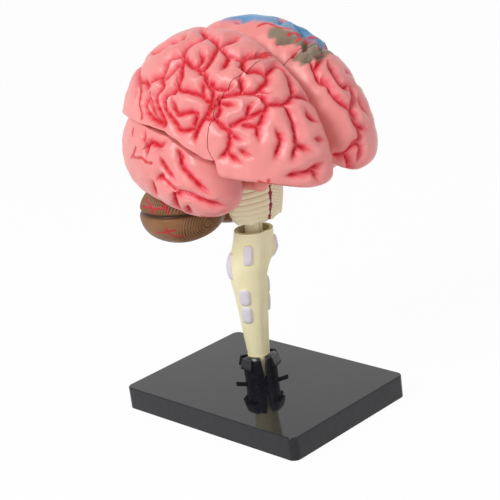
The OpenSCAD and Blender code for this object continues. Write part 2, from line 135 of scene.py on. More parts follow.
def light_world():
    world = bpy.data.worlds.new("white_room")
    bpy.context.scene.world = world
    world.use_nodes = True
    nodes, links = world.node_tree.nodes, world.node_tree.links
    nodes.clear()
    mix = nodes.new("ShaderNodeMixShader")
    seen = any_ray(nodes, links, "Is Camera Ray", "Is Glossy Ray", "Is Transmission Ray")
    links.new(seen, mix.inputs[0])
    links.new(white_background(nodes, FILL_STRENGTH), mix.inputs[1])
    links.new(white_background(nodes, 1.0), mix.inputs[2])
    links.new(mix.outputs[0], nodes.new("ShaderNodeOutputWorld").inputs[0])

light_world()
print("world fills with strength", FILL_STRENGTH)

# %% [markdown]
# ## Pale floor
# The floor takes the soft shadow of the stand, yet the picture's ground has to stay white. So what
# the camera sees of it is mostly a plain white glow, with a little of the real paper mixed in.

# %% Lay the floor
FLOOR_HALF = 3.0
GLOW_SHARE = 0.96

def pale_floor():
    mesh = bpy.data.meshes.new("floor")
    s = FLOOR_HALF
    mesh.from_pydata([(-s, -s, 0), (s, -s, 0), (s, s, 0), (-s, s, 0)], [], [(0, 1, 2, 3)])
    floor = bpy.data.objects.new("floor", mesh)
    bpy.context.scene.collection.objects.link(floor)
    material = bpy.data.materials.new("floor_white")
    material.use_nodes = True
    nodes, links = material.node_tree.nodes, material.node_tree.links
    paper = nodes["Principled BSDF"]
    paper.inputs["Base Color"].default_value = (0.9, 0.9, 0.9, 1)
    paper.inputs["Roughness"].default_value = 0.9
    glow = nodes.new("ShaderNodeEmission")
    glow.inputs["Strength"].default_value = 1.0
    share = nodes.new("ShaderNodeMath")
    share.operation = "MULTIPLY"
    share.inputs[1].default_value = GLOW_SHARE
    links.new(any_ray(nodes, links, "Is Camera Ray", "Is Glossy Ray"), share.inputs[0])
    mix = nodes.new("ShaderNodeMixShader")
    links.new(share.outputs[0], mix.inputs[0])
    links.new(paper.outputs[0], mix.inputs[1])
    links.new(glow.outputs[0], mix.inputs[2])
    links.new(mix.outputs[0], nodes["Material Output"].inputs["Surface"])
    mesh.materials.append(material)

pale_floor()
print("floor laid,", 2 * FLOOR_HALF, "m wide")

# %% [markdown]
# ## The shape of half a brain
# Each half is one smooth egg-like form. A point of its map is given in degrees behind and above
# the sideways axis, and a function turns it into a point in space. Sculpting would give such a form
# too, but these are the numbers of the solid model, so the carved piece lands on its plain solid.
# Only the lift under the brow is not in the solid.

# %% The half's form
HALF_CENTRE = np.array([10.925, -7, 131.0])
HALF_OUT, HALF_IN = 36.575, 17
HALF_FRONT, HALF_BACK = 59, 50
HALF_UP, HALF_DOWN = 48.5, 17
FRONT_DROOP, UNDER_RISE, BROW_LIFT = 0.2, 0.22, 9.5
MID_GAP = 0.2

def toward(map_points):
    """Unit directions of map points, which are degrees behind and above the sideways axis."""
    flat = np.atleast_2d(np.asarray(map_points, float))
    away = np.hypot(flat[:, 0], flat[:, 1])
    safe = np.maximum(away, 1e-4)
    angle = np.radians(away)
    return np.c_[np.cos(angle), np.sin(angle) * flat[:, 0] / safe, np.sin(angle) * flat[:, 1] / safe]

def reach(d, size, power):
    """How far a rounded box of these half sizes reaches in each direction."""
    return (np.abs(d / size) ** power).sum(1) ** (-1 / power)

def stop_at_middle(d, r, centre):
    wall = (centre[0] - MID_GAP) / np.maximum(-d[:, 0], 1e-6)
    return np.where(d[:, 0] < 0, np.minimum(r, wall), r)

def half_from(d):
    size = np.c_[np.where(d[:, 0] > 0, HALF_OUT, HALF_IN), np.where(d[:, 1] < 0, HALF_FRONT, HALF_BACK),
                 np.where(d[:, 2] > 0, HALF_UP, HALF_DOWN)]
    p = HALF_CENTRE + d * stop_at_middle(d, reach(d, size, 2.1), HALF_CENTRE)[:, None]
    droop = FRONT_DROOP * np.maximum(0, HALF_CENTRE[1] - 13 - p[:, 1])
    rise = np.clip(-3 * d[:, 2], 0, 1) * UNDER_RISE * np.clip(p[:, 1] - HALF_CENTRE[1] + 55, 0, 30)
    brow = BROW_LIFT * np.clip(-4 * d[:, 2], 0, 1) * np.clip((44 - p[:, 0]) / 16, 0, 1)
    brow *= np.clip((-14 - p[:, 1]) / 10, 0, 1) * np.clip((p[:, 1] + 64) / 14, 0, 1)
    p[:, 2] += rise - droop + brow
    return p

print("half brain reaches", half_from(np.eye(3))[0].round(1), "mm sideways")

# %% [markdown]
# ## The shape of a temporal lobe
# The lobe below the side furrow is a second, smaller form. Its front end stands further out and
# hangs lower, and its back end runs inwards, so a round form is made first and then sheared.

# %% The temporal form
TEMPLE_CENTRE = np.array([26.125, 5, 126.92])
TEMPLE_OUT, TEMPLE_IN, TEMPLE_LONG = 21.85, 14.25, 38.0
TEMPLE_UP, TEMPLE_DOWN = 24.25, 20.855
FRONT_SWEEP, BACK_SWEEP, FRONT_SLOPE = -0.16, -0.26, 0.24

def temple_from(d):
    size = np.c_[np.where(d[:, 0] > 0, TEMPLE_OUT, TEMPLE_IN), np.full(len(d), TEMPLE_LONG),
                 np.where(d[:, 2] > 0, TEMPLE_UP, TEMPLE_DOWN)]
    p = TEMPLE_CENTRE + d * reach(d, size, 2.3)[:, None]
    s = p[:, 1] - TEMPLE_CENTRE[1]
    p[:, 0] += np.where(s < 0, FRONT_SWEEP, BACK_SWEEP) * s
    p[:, 2] += np.where(s < 0, FRONT_SLOPE, 0) * s
    return p

print("temporal lobe reaches", temple_from(np.eye(3))[0].round(1), "mm sideways")

# %% [markdown]
# ## Where the furrows run
# The furrows were traced over the photograph, one line at a time, as a painter would, and
# are written as map points of the form. The right half faces the camera and shows most of them.
# Painted veins are lines too, which only carry colour.

# %% Furrow lines of the right half, which faces the camera
right_back = [
    [[6, 88], [-8, 81], [-9, 77], [-4, 73], [-2, 69], [-2, 65], [5, 63], [7, 60], [7, 54], [11, 51],
     [18, 48], [18, 44]],
    [[-11, 81], [-21, 76], [-25, 73], [-26, 66], [-26, 62], [-24, 55]],
    [[-25, 73], [-29, 77], [-32, 84]],
    [[-2, 65], [-6, 64], [-11, 61], [-18, 58], [-21, 62], [-16, 68]],
    [[-18, 58], [-26, 55], [-30, 50], [-34, 47], [-36, 42]],
    [[-6, 64], [-7, 59], [-10, 53], [-11, 46], [-21, 44], [-29, 43], [-34, 40], [-36, 42]],
    [[-6, 49], [-9, 45], [-1, 40], [-2, 34], [-8, 29], [-12, 26], [-18, 21], [-28, 24]],
    [[-7, 40], [-11, 34], [-15, 31], [-24, 33], [-28, 32], [-27, 26]],
    [[7, 54], [7, 50], [4, 46], [8, 41], [7, 36], [2, 31], [-3, 25]],
    [[14, 41], [18, 34], [16, 30], [7, 26], [-2, 24]],
    [[-4, 60], [-1, 55], [4, 51]], [[-28, 72], [-35, 67], [-36, 62], [-35, 57]],
    [[-34, 69], [-40, 67], [-43, 67], [-46, 73]], [[-44, 67], [-46, 61], [-48, 59], [-52, 60]],
    [[-44, 67], [-50, 71], [-56, 73]], [[-32, 51], [-36, 48], [-42, 48], [-45, 50]],
    [[19, 72], [11, 75], [11, 80]], [[38, 63], [24, 67], [19, 72]], [[-29, 43], [-28, 49]],
    [[-28, 14], [-28, 19], [-31, 27], [-34, 33], [-36, 39]],
    [[18, 44], [26, 47], [33, 44], [31, 36]], [[33, 44], [44, 50], [52, 58], [60, 62]],
    [[32, 78], [38, 72], [44, 62], [43, 54], [36, 46]], [[50, 57], [60, 47], [64, 40], [58, 30]],
    [[84, 55], [86, 42], [80, 30]], [[43, 74], [58, 78], [74, 70]], [[66, 44], [76, 46], [86, 42]],
    [[28, 92], [48, 94]], [[-12, 92], [8, 94]], [[60, 78], [64, 88], [78, 92]],
]
right_front = [
    [[-39, 43], [-49, 46], [-56, 47], [-58, 50], [-60, 55], [-57, 59], [-52, 60]],
    [[-46, 57], [-50, 47]], [[-74, 47], [-80, 47], [-86, 46]],
    [[-60, 55], [-59, 60], [-60, 63], [-62, 67], [-68, 64], [-72, 55], [-74, 47]],
    [[-74, 47], [-71, 42], [-67, 41], [-63, 41], [-60, 44], [-56, 47]],
    [[-71, 41], [-74, 34], [-76, 26], [-77, 19], [-83, 15]], [[-77, 19], [-74, 10]],
    [[-58, 51], [-59, 48], [-63, 47]], [[-63, 41], [-62, 35], [-60, 29], [-54, 29]],
    [[-60, 29], [-61, 20]], [[-57, 42], [-55, 39], [-55, 34]], [[-61, 37], [-55, 33], [-48, 28]],
    [[-39, 43], [-41, 36], [-40, 31], [-44, 27], [-48, 24], [-47, 14], [-42, 8]],
    [[-47, 13], [-54, 7]], [[-48, 24], [-54, 20]], [[-42, 40], [-49, 39]],
    [[-40, 31], [-35, 31], [-35, 34], [-38, 39]], [[-52, 16], [-58, 12]],
    [[-67, 28], [-70, 22], [-69, 16], [-67, 11]], [[-80, 39], [-83, 34], [-88, 31]],
    [[-84, 22], [-90, 20]], [[-71, 2], [-80, 3], [-88, 7]], [[-83, 4], [-85, -4]],
]
right_veins = [
    [[32, 78], [38, 72], [44, 62], [43, 56], [33, 48], [36, 46], [27, 43], [23, 40], [23, 34],
     [21, 30], [19, 25]],
    [[-44, 60], [-45, 67], [-50, 71], [-57, 74]], [[-45, 67], [-51, 73], [-56, 77]],
    [[-39, 43], [-35, 38], [-35, 33]], [[14, 41], [10, 34], [4, 28], [-3, 24]],
    [[-60, -3], [-64, -5], [-68, -6], [-73, -7]], [[-64, 0], [-63, -6]],
]
print(len(right_back) + len(right_front), "furrows and", len(right_veins), "painted veins on the right half")

# %% [markdown]
# ## The left half's furrows
# The camera sees only the left half's front and crown, where the lines are traced like the others.
# Its hidden side is given furrows of the same kind. The blue and the olive patch are brush strokes
# of a certain width along their own lines.

# %% Furrow lines of the left half
left_side = [
    [[-44, 42], [-44, 36], [-43, 30]], [[-38, 32], [-46, 25], [-51, 28], [-56, 33], [-62, 34]],
    [[-46, 25], [-46, 12], [-44, 8]], [[-46, 12], [-53, 1]], [[-46, 23], [-50, 19], [-54, 17]],
    [[-47, 57], [-49, 45]], [[-48, 59], [-47, 64], [-47, 68], [-53, 69], [-61, 70]],
    [[-47, 59], [-53, 60], [-58, 58], [-62, 62]], [[-11, 70], [-16, 64], [-15, 60], [-8, 60], [0, 66]],
    [[-15, 59], [-23, 53], [-27, 49], [-35, 41]], [[-6, 60], [-6, 48], [-10, 45], [-22, 44], [-29, 42]],
    [[-8, 36], [-10, 31], [-22, 33], [-26, 28]],
    [[-3, 50], [-5, 44], [-1, 41], [1, 35], [-2, 31], [-7, 29], [-14, 22], [-26, 23]],
    [[0, 66], [10, 63], [10, 57], [14, 52], [22, 48], [20, 44]],
    [[14, 52], [7, 48], [10, 43], [12, 38], [6, 32], [-4, 22]],
    [[32, 50], [31, 43], [29, 36], [27, 25]], [[28, 36], [24, 33], [17, 28], [6, 23]],
    [[60, 62], [50, 57], [42, 50], [34, 47]], [[34, 63], [27, 65], [15, 67]], [[26, 72], [20, 78]],
    [[0, 66], [5, 70], [1, 74], [-7, 75]], [[-23, 58], [-21, 64], [-22, 70], [-20, 76], [-30, 82]],
    [[-36, 57], [-34, 64], [-31, 70], [-41, 69], [-46, 75]],
    [[-29, 52], [-37, 48], [-43, 49], [-46, 55]], [[64, 52], [66, 40], [58, 30]],
    [[84, 55], [86, 42], [80, 30]], [[45, 78], [60, 78], [74, 70]], [[28, 92], [48, 94]],
    [[-12, 92], [8, 94]],
]
left_front = [
    [[-50, 85], [-48, 84], [-49, 79], [-50, 73]], [[-64, 75], [-61, 74], [-58, 73]],
    [[-66, 64], [-72, 60], [-78, 54], [-79, 49], [-82, 44], [-84, 38], [-84, 30], [-86, 24],
     [-86, 19], [-81, 14]],
    [[-63, 56], [-68, 52], [-73, 47], [-75, 41], [-70, 39]], [[-64, 44], [-60, 41]],
    [[-72, 37], [-76, 33], [-82, 30], [-84, 24]], [[-73, 32], [-75, 27], [-76, 21]],
    [[-86, 19], [-88, 12], [-92, 10], [-89, 8], [-91, 1], [-93, -3]],
    [[-101, 3], [-97, 3], [-92, 10]], [[-96, 3], [-93, -14]], [[-77, 53], [-79, 49]],
    [[-66, 66], [-67, 69]], [[-71, 61], [-66, 64]], [[-58, 58], [-66, 60], [-72, 60]],
]
left_veins = [
    [[-45, 79], [-41, 72], [-43, 65], [-38, 57], [-42, 53], [-46, 50], [-48, 47]],
    [[-52, 75], [-48, 72], [-49, 68]], [[-24, 93], [-29, 88], [-37, 83], [-39, 77]],
]
blue_patch = [[[14, 84], [-2, 84], [-19, 82], [-30, 76], [-34, 70], [-37, 60]]]
olive_patch = [[[-40, 86], [-47, 79], [-52, 70], [-52, 61], [-50, 51]], [[-64, 70], [-61, 66], [-58, 61]]]
print(len(left_side) + len(left_front), "furrows on the left half")

# %% [markdown]
# ## The temporal furrows and the seams
# Both temporal lobes carry the same furrows. The seams are outlines seen from the side, in
# millimetres back and up: one between frontal and parietal lobe, and the two lips of the side furrow.

# %% Furrow lines of the temporal lobes, and the seams between the pieces
temple_folds = [
    [[-46, 34], [-51, 28], [-53, 19], [-58, 13], [-64, 6], [-71, -2]], [[-28, 22], [-36, 12], [-46, 4]],
    [[-19, -9], [-24, -4], [-30, 1], [-32, -2], [-45, -8], [-50, -8], [-60, -8], [-70, -12], [-80, -17]],
    [[-34, 38], [-26, 33], [-13, 33], [-7, 28], [-5, 14]], [[3, 42], [2, 33], [-1, 27]],
    [[-44, -14], [-50, -8]], [[-13, -10], [-3, -37]], [[-42, -14], [-34, -46]],
    [[-53, -20], [-47, -44]], [[60, 38], [62, 20], [52, 2]], [[85, 30], [88, 10], [78, -8]],
]
temple_veins = [
    [[29, 5], [19, 14], [22, 8], [3, 11], [-6, 9], [-17, 12]], [[26, 36], [24, 30]], [[19, 14], [14, 20]],
    [[-59, -36], [-69, -36]],
]
front_seam = [[-35.9, 100], [-35.9, 126], [-34.1, 132.9], [-31.8, 137.8], [-31.8, 148], [-33, 156.2],
              [-35.9, 162], [-40, 168.8], [-44.8, 174.2], [-50, 190]]
upper_lip = [[-39, 131.2], [-34.5, 132], [-30, 133.6], [-25, 136], [-20.5, 138.3], [-16.5, 140.8],
             [-10, 143.3], [0, 145], [19, 146.3], [70, 145.5]]
lower_lip = [[-39, 125.5], [-33, 127.6], [-28, 129.8], [-23.3, 132.2], [-18, 135.2], [-13, 138.2],
             [-8, 140.4], [0, 142.4], [10, 144], [25, 145.3], [70, 144]]
print(len(temple_folds), "furrows on each temporal lobe")

# %% [markdown]
# ## Carving with distance
# A carved furrow is a valley whose depth depends on how far a point is from the furrow's line.
# The line is first smoothed and walked in small steps, and a lookup tree then gives each point of
# the surface its nearest step. The same distance later drives the crimson paint, so paint and
# carving always agree. A displacement texture could do this too, but it would need a map.

# %% Smooth a line and walk it in small steps
WALK_STEP = 0.3
FADE = 3.5
FREE_END = 2.2

def smooth_line(points, per_piece=14):
    """A smooth curve through all the points, made of one cubic piece between each two."""
    p = np.asarray(points, float)
    p = np.vstack([2 * p[0] - p[1], p, 2 * p[-1] - p[-2]])
    t = np.linspace(0, 1, per_piece, endpoint=False)[:, None]
    pieces = []
    for a, b, c, d in zip(p[:-3], p[1:-2], p[2:-1], p[3:]):
        pieces.append(0.5 * (2 * b + (c - a) * t + (2 * a - 5 * b + 4 * c - d) * t ** 2
                             + (3 * b - a - 3 * c + d) * t ** 3))
    return np.vstack(pieces + [p[-2:-1]])

def walk_lines(lines, form):
    """Steps along all lines, and a strength that fades at ends which meet no other line."""
    walks = []
    for line in lines:
        p = form(toward(smooth_line(line)))
        along = np.r_[0, np.cumsum(np.linalg.norm(np.diff(p, axis=0), axis=1))]
        s = np.linspace(0, along[-1], max(3, int(along[-1] / WALK_STEP)))
        walks.append((s, np.c_[[np.interp(s, along, p[:, k]) for k in range(3)]].T))
    far_off = np.full((1, 3), 1e3)
    steps, strength = [], []
    for i, (s, p) in enumerate(walks):
        others = np.vstack([q for k, (_, q) in enumerate(walks) if k != i] + [far_off])
        start, end = (np.linalg.norm(others - p[k], axis=1).min() > FREE_END for k in (0, -1))
        full = 1 + 0 * s
        ease = np.minimum(s / FADE if start else full, (s[-1] - s) / FADE if end else full)
        steps.append(p)
        strength.append(np.clip(ease, 0, 1) * 0.75 + 0.25)
    return np.vstack(steps), np.concatenate(strength)

def nearest_on(steps, points):
    """For each point the number of its nearest step, and the distance to it."""
    tree = kdtree.KDTree(len(steps))
    for i, s in enumerate(steps):
        tree.insert(s, i)
    tree.balance()
    found = [tree.find(p)[1:] for p in points]
    return np.array([f[0] for f in found]), np.array([f[1] for f in found])

print("the front seam, smoothed, has", len(smooth_line(front_seam)), "points")

# %% [markdown]
# ## An even grid on a ball
# A ball made of rings has crowded poles, where carving would look pinched. A cube's faces, cut in
# small squares and blown up to a ball, have no poles, so every furrow gets points of the same size.

# %% A round grid and a mesh from points
LOBE_GRID = 126

def round_grid(n):
    """Directions on a ball from a cube cut n times a side, and the triangles between them."""
    bm = bmesh.new()
    bmesh.ops.create_cube(bm, size=2)
    bmesh.ops.subdivide_edges(bm, edges=bm.edges, cuts=n - 1, use_grid_fill=True)
    bmesh.ops.triangulate(bm, faces=bm.faces)
    bm.verts.ensure_lookup_table()
    p = np.array([v.co[:] for v in bm.verts])
    faces = np.array([[v.index for v in f.verts] for f in bm.faces])
    bm.free()
    p = np.tan(p * math.pi / 4)
    return p / np.linalg.norm(p, axis=1)[:, None], faces

def mesh_piece(name, points, faces, flip=False):
    """An object from points in millimetres, mirrored to the other side of the brain by flip."""
    points = np.array(points, float) * MM
    if flip:
        points[:, 0] *= -1
        faces = [list(f)[::-1] for f in faces]
    mesh = bpy.data.meshes.new(name)
    mesh.from_pydata([tuple(p) for p in points], [], [tuple(f) for f in faces])
    mesh.update()
    piece = bpy.data.objects.new(name, mesh)
    bpy.context.scene.collection.objects.link(piece)
    return piece

grid_points, grid_faces = round_grid(LOBE_GRID)
print("round grid:", len(grid_points), "points")

# %% [markdown]
# ## One form, carved and marked
# Each furrow is a narrow groove in a wider valley, which is what gives the folds their round
# shoulders. The points keep a value for each kind of paint, which is carried to the cut pieces.

# %% Carve a form along its furrows
GROOVE_DEPTH, GROOVE_WIDTH = 1.3, 0.8
VALLEY_DEPTH, VALLEY_WIDTH = 2.1, 2.6
VEIN_HEIGHT, VEIN_WIDTH = 0.25, 0.5

def hill(distance, width):
    return np.exp(-(distance / width) ** 2)

def carve_form(form, centre, furrows, veins, patches=()):
    p = form(grid_points)
    out = p - centre
    out /= np.linalg.norm(out, axis=1)[:, None]
    # The flat face at the middle of the brain stays uncarved and unpainted.
    keep = np.clip((p[:, 0] - 0.6) / 2.0, 0, 1)
    # Slow waves keep the surface and the edge of the paint from looking drawn.
    wave = np.sin(p[:, 1] * 0.42 + p[:, 2] * 0.3) * np.sin(p[:, 2] * 0.5 - p[:, 0] * 0.35)
    wander = 0.25 * np.sin(p[:, 1] * 1.3 + p[:, 2] * 0.9) + 0.2 * np.sin(p[:, 2] * 2.1 - p[:, 0])
    steps, strength = walk_lines(furrows, form)
    which, far = nearest_on(steps, p)
    s = strength[which]
    deep = s * (GROOVE_DEPTH * hill(far, GROOVE_WIDTH) + VALLEY_DEPTH * hill(far, VALLEY_WIDTH))
    deep = deep - 0.2 * wave + 0.1
    layers = {"furrow": s * np.clip((2.9 + wander - far) / 2.5, 0, 1) * keep,
              "line": s * np.clip((0.85 + 0.6 * wander - far) / 0.5, 0, 1) * keep}
    gap = nearest_on(walk_lines(veins, form)[0], p)[1]
    deep -= VEIN_HEIGHT * hill(gap, VEIN_WIDTH)
    layers["vein"] = np.clip((0.85 + wander * 0.5 - gap) / 0.35, 0, 1) * keep
    for name, lines, width in patches:
        gap = nearest_on(walk_lines(lines, form)[0], p)[1]
        layers[name] = np.clip((width + 2.2 * wander - gap) / (0.35 * width), 0, 1) * keep
    return p - out * (deep * keep)[:, None], layers

print("furrows are up to", GROOVE_DEPTH + VALLEY_DEPTH, "mm deep")

# %% [markdown]
# ## Cutting the lobes apart
# The half is one form, and the real maker cuts it into lobes. A Boolean modifier does the same
# here: it keeps what lies inside a block that has the seam's outline, and takes away the pockets
# for the core, the middle block and the pegs. Pegs are then added by a union.

# %% Cutters and the Boolean step
def ring_ends(rows, n):
    return [list(range(n))[::-1], list(range((rows - 1) * n, rows * n))]

def ring_walls(rows, n):
    """Faces between rows of n points each, where every row is a closed ring."""
    return [[i * n + j, i * n + (j + 1) % n, (i + 1) * n + (j + 1) % n, (i + 1) * n + j]
            for i in range(rows - 1) for j in range(n)]

def prism_faces(n):
    return ring_ends(2, n) + ring_walls(2, n)

def side_block(outline, x0=-1.0, x1=60.0):
    """A block that runs sideways and has this outline in millimetres back and up."""
    points = [(x0, y, z) for y, z in outline] + [(x1, y, z) for y, z in outline]
    return points, prism_faces(len(outline))

def round_bar(start, end, r0, r1=None, n=40):
    """A round bar between two points, which may taper to r1."""
    a, b = Vector(start), Vector(end)
    axis = (b - a).normalized()
    u = axis.orthogonal().normalized()
    v = axis.cross(u)
    points = []
    for c, r in ((a, r0), (b, r0 if r1 is None else r1)):
        for i in range(n):
            t = 2 * math.pi * i / n
            points.append(tuple(c + (u * math.cos(t) + v * math.sin(t)) * r))
    return points, prism_faces(n)

def outward(piece):
    bm = bmesh.new()
    bm.from_mesh(piece.data)
    bmesh.ops.recalc_face_normals(bm, faces=bm.faces)
    bmesh.ops.triangulate(bm, faces=bm.faces)
    bm.to_mesh(piece.data)
    bm.free()

def apply_cut(piece, shape, how, flip=False):
    cutter = mesh_piece("cutter", shape[0], shape[1], flip)
    outward(cutter)
    step = piece.modifiers.new("cut", "BOOLEAN")
    step.operation = how
    step.object = cutter
    step.solver = "MANIFOLD"
    with bpy.context.temp_override(object=piece, active_object=piece):
        bpy.ops.object.modifier_apply(modifier=step.name)
    bpy.data.objects.remove(cutter)

print("cutters: a side block has", len(side_block(front_seam)[1]), "faces")

# %% [markdown]
# ## Pockets and pegs
# The lobes plug onto a round core, and the core onto the middle block, as on the real model. These
# seats can't be seen in the photograph but show when a lobe is pulled off, so they lie where the
# solids have them. Each hole is a little wider than its peg.

# %% The pockets and pegs, in the same places as in the solids
CORE_Y, CORE_Z = -8.0, 130.0
CORE_RADIUS, NECK_RADIUS, BAY_RADIUS = 14.065, 5, 10.9
GAP, PEG, PEG_GAP = 0.4, 2.0, 0.15
HOLE = PEG + PEG_GAP
core_pocket = round_bar((21.85 - GAP, CORE_Y, CORE_Z), (35, CORE_Y, CORE_Z), CORE_RADIUS + GAP)
core_cap = round_bar((34.9, CORE_Y, CORE_Z), (38 + GAP, CORE_Y, CORE_Z), CORE_RADIUS + GAP, 11)
core_neck = round_bar((9, CORE_Y, CORE_Z), (24, CORE_Y, CORE_Z), NECK_RADIUS + GAP)
block_bay = round_bar((0, CORE_Y, 110.6), (0, CORE_Y, 145.0), BAY_RADIUS)
PIN_X, PIN_START, PIN_END = 29.925, 12, 19.2
upper_hole, lower_hole = (round_bar((PIN_X, CORE_Y, CORE_Z + way * PIN_START),
                                    (PIN_X, CORE_Y, CORE_Z + way * PIN_END), HOLE) for way in (1, -1))
front_pegs = [(26.125, 150.885), (11.875, 159.13)]
mid_pegs = [(4, 165.92), (24, 157.19)]

def seam_y(z):
    return float(np.interp(z, [q[1] for q in front_seam], [q[0] for q in front_seam]))

def slab_box(lo, hi):
    x, y, z = zip(lo, hi)
    points = [(a, b, c) for c in z for b in y for a in x]
    return points, [[0, 2, 3, 1], [4, 5, 7, 6], [0, 1, 5, 4], [2, 6, 7, 3], [0, 4, 6, 2], [1, 3, 7, 5]]

stem_bay = slab_box((-1, -21.5, 89), (16.7, 1.1, 111.2))
turn = np.radians(np.arange(0, 360, 15))
bay_reach = reach(np.c_[np.zeros(24), np.cos(turn), np.sin(turn)], np.array([1, 19.2, 15.7]), 2.2)
bay_outline = [(21 + r * math.cos(t), 97 + r * math.sin(t)) for r, t in zip(bay_reach, turn)]
cerebellum_bay = side_block(bay_outline, -1, 36)
print("front pegs stand at", [round(seam_y(z), 1) for x, z in front_pegs], "mm")

# %% [markdown]
# ## From form to lobe
# A lobe is the carved form, cut to its outline, hollowed and given its pegs. The cuts make new
# points that never had paint values, so each final point asks the nearest point of the uncut form.
# Where none is near, it is a cut face, which stays plain and a shade darker.

# %% Make one lobe
GROUP = {"right": "brain", "left": "left_half"}
PAINT_REACH = 0.0009

def paint_from(piece, points, layers, flip):
    """Give each point of the cut piece the paint of the nearest point of the uncut form."""
    source = np.array(points, float) * MM
    if flip:
        source[:, 0] *= -1
    mesh = piece.data
    which, far = nearest_on(source, np.array([v.co[:] for v in mesh.vertices]))
    for name, values in layers.items():
        layer = mesh.attributes.new(name, "FLOAT", "POINT")
        layer.data.foreach_set("value", np.where(far < PAINT_REACH, values[which], 0).astype(np.float32))
    cut = mesh.attributes.new("cut_face", "FLOAT", "POINT")
    cut.data.foreach_set("value", (far > PAINT_REACH).astype(np.float32))

def wear(piece, material):
    """Leave a piece with one material, whatever the cuts brought along."""
    mesh = piece.data
    mesh.materials.clear()
    mesh.materials.append(material)
    mesh.polygons.foreach_set("material_index", [0] * len(mesh.polygons))

def finish_surface(piece, angle=50):
    mesh = piece.data
    mesh.shade_smooth()
    mesh.set_sharp_from_angle(angle=math.radians(angle))

def make_lobe(name, side, carved, layers, outline, cuts, pegs=()):
    flip = side == "right"
    piece = mesh_piece(name + "_form", carved, grid_faces, flip)
    apply_cut(piece, side_block(outline), "INTERSECT", flip)
    for shape in cuts:
        apply_cut(piece, shape, "DIFFERENCE", flip)
    for shape in pegs:
        apply_cut(piece, shape, "UNION", flip)
    paint_from(piece, carved, layers, flip)
    finish_surface(piece)
    return piece

# %% [markdown]
# ## The frontal and parietal lobes
# Each half gives a frontal lobe and the large parietal and occipital lobe behind it, which carries
# the pegs. The visible pieces stand in for their plain solids and ride on the same bodies, so they
# move with the joints without any keyframes.

# %% Frontal and parietal lobes of both halves
back_outline = ([(y + GAP / 2, z) for y, z in front_seam if z > 126] + [(70, 190)]
                + [tuple(q) for q in upper_lip[::-1] if q[0] > -34])
front_outline = [(y - GAP / 2, z) for y, z in front_seam] + [(-95, 190), (-95, 100)]
BLUE_WIDTH, OLIVE_WIDTH = 8.5, 4.2
patches = (("blue", blue_patch, BLUE_WIDTH), ("olive", olive_patch, OLIVE_WIDTH))
plans = {"right": (right_back + right_front, right_veins, ()),
         "left": (left_side + left_front, left_veins, patches)}
lobes = {}
for side, plan in plans.items():
    carved, layers = carve_form(half_from, HALF_CENTRE, *plan)
    holes = [round_bar((x, seam_y(z) + 2, z), (x, seam_y(z) - 5.2, z), HOLE) for x, z in front_pegs]
    lobes["frontal", side] = make_lobe("frontal_" + side, side, carved, layers, front_outline, holes)
    cuts = [core_pocket, core_cap, core_neck, block_bay, upper_hole]
    pegs = [round_bar((x, seam_y(z) + 4, z), (x, seam_y(z) - 5, z), PEG) for x, z in front_pegs]
    if side == "right":
        pegs += [round_bar((5, y, z), (-5, y, z), PEG) for y, z in mid_pegs]
    else:
        cuts += [round_bar((-1, y, z), (5.2, y, z), HOLE) for y, z in mid_pegs]
    lobes["parietal", side] = make_lobe("parietal_" + side, side, carved, layers, back_outline, cuts, pegs)
    for part in ("frontal", "parietal"):
        piece = lobes[part, side]
        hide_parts(f"{part}_lobe_{side}")
        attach(piece, f"frontal_{side}" if part == "frontal" else GROUP[side])
        print(piece.name, len(piece.data.polygons), "faces")

# %% [markdown]
# ## The temporal lobes
# The temporal lobe plugs onto the same core from below. Its inner side has a bent channel for the
# hippocampus, whose front end shows beside the brain stem, and bays for the brain stem and the
# cerebellum. The channel's cutter is a row of rings along an arc, swollen to balls at its ends.

# %% Temporal lobes
ROD_BEND = 47.0
ROD_CENTRE = np.array([17.1 - ROD_BEND, -14, 115.0])
ROD_START, ROD_END = -19, 28
ROD_HOLE, ROD_END_HOLE = 4.0, 4.6

def rod_shape(n=48, ring=20):
    """A bent bar with ball ends, as rings along its arc."""
    arc = math.radians(ROD_END - ROD_START) * ROD_BEND
    points = []
    for v in np.linspace(-ROD_END_HOLE * 0.999, arc + ROD_END_HOLE * 0.999, n):
        t = math.radians(ROD_START) + v / ROD_BEND
        r = ROD_HOLE
        for end in (0, arc):
            if abs(v - end) < ROD_END_HOLE:
                ball = math.sqrt(ROD_END_HOLE ** 2 - (v - end) ** 2)
                r = max(r, ball) if 0 <= v <= arc else ball
        for k in range(ring):
            w = 2 * math.pi * k / ring
            e = ROD_BEND + r * math.cos(w)
            points.append((ROD_CENTRE[0] + e * math.cos(t), ROD_CENTRE[1] + e * math.sin(t),
                           ROD_CENTRE[2] + r * math.sin(w)))
    return points, ring_ends(n, ring) + ring_walls(n, ring)

temple_outline = [tuple(q) for q in lower_lip] + [(70, 90), (-50, 90), (-50, 120)]
temple_cuts = [core_pocket, core_cap, core_neck, block_bay, stem_bay, cerebellum_bay, lower_hole, rod_shape()]
temple_carved, temple_layers = carve_form(temple_from, TEMPLE_CENTRE, temple_folds, temple_veins)
for side in ("right", "left"):
    piece = make_lobe("temporal_" + side, side, temple_carved, temple_layers, temple_outline, temple_cuts)
    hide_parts(f"temporal_lobe_{side}")
    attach(piece, GROUP[side])
    lobes["temporal", side] = piece
    print(piece.name, len(piece.data.polygons), "faces")

# %% [markdown]
# ## Building blocks of a painted finish
# Every finish here is the same kind: a base colour that wanders a little, paint laid over it by the
# values that the mesh carries, and a fine bump. Small helpers for these steps keep each finish short.

# %% Small helpers for materials
def plain_material(name, colour, rough):
    material = bpy.data.materials.new(name)
    material.use_nodes = True
    shader = material.node_tree.nodes["Principled BSDF"]
    shader.inputs["Base Color"].default_value = (*colour, 1)
    shader.inputs["Roughness"].default_value = rough
    return material, shader, material.node_tree.nodes, material.node_tree.links

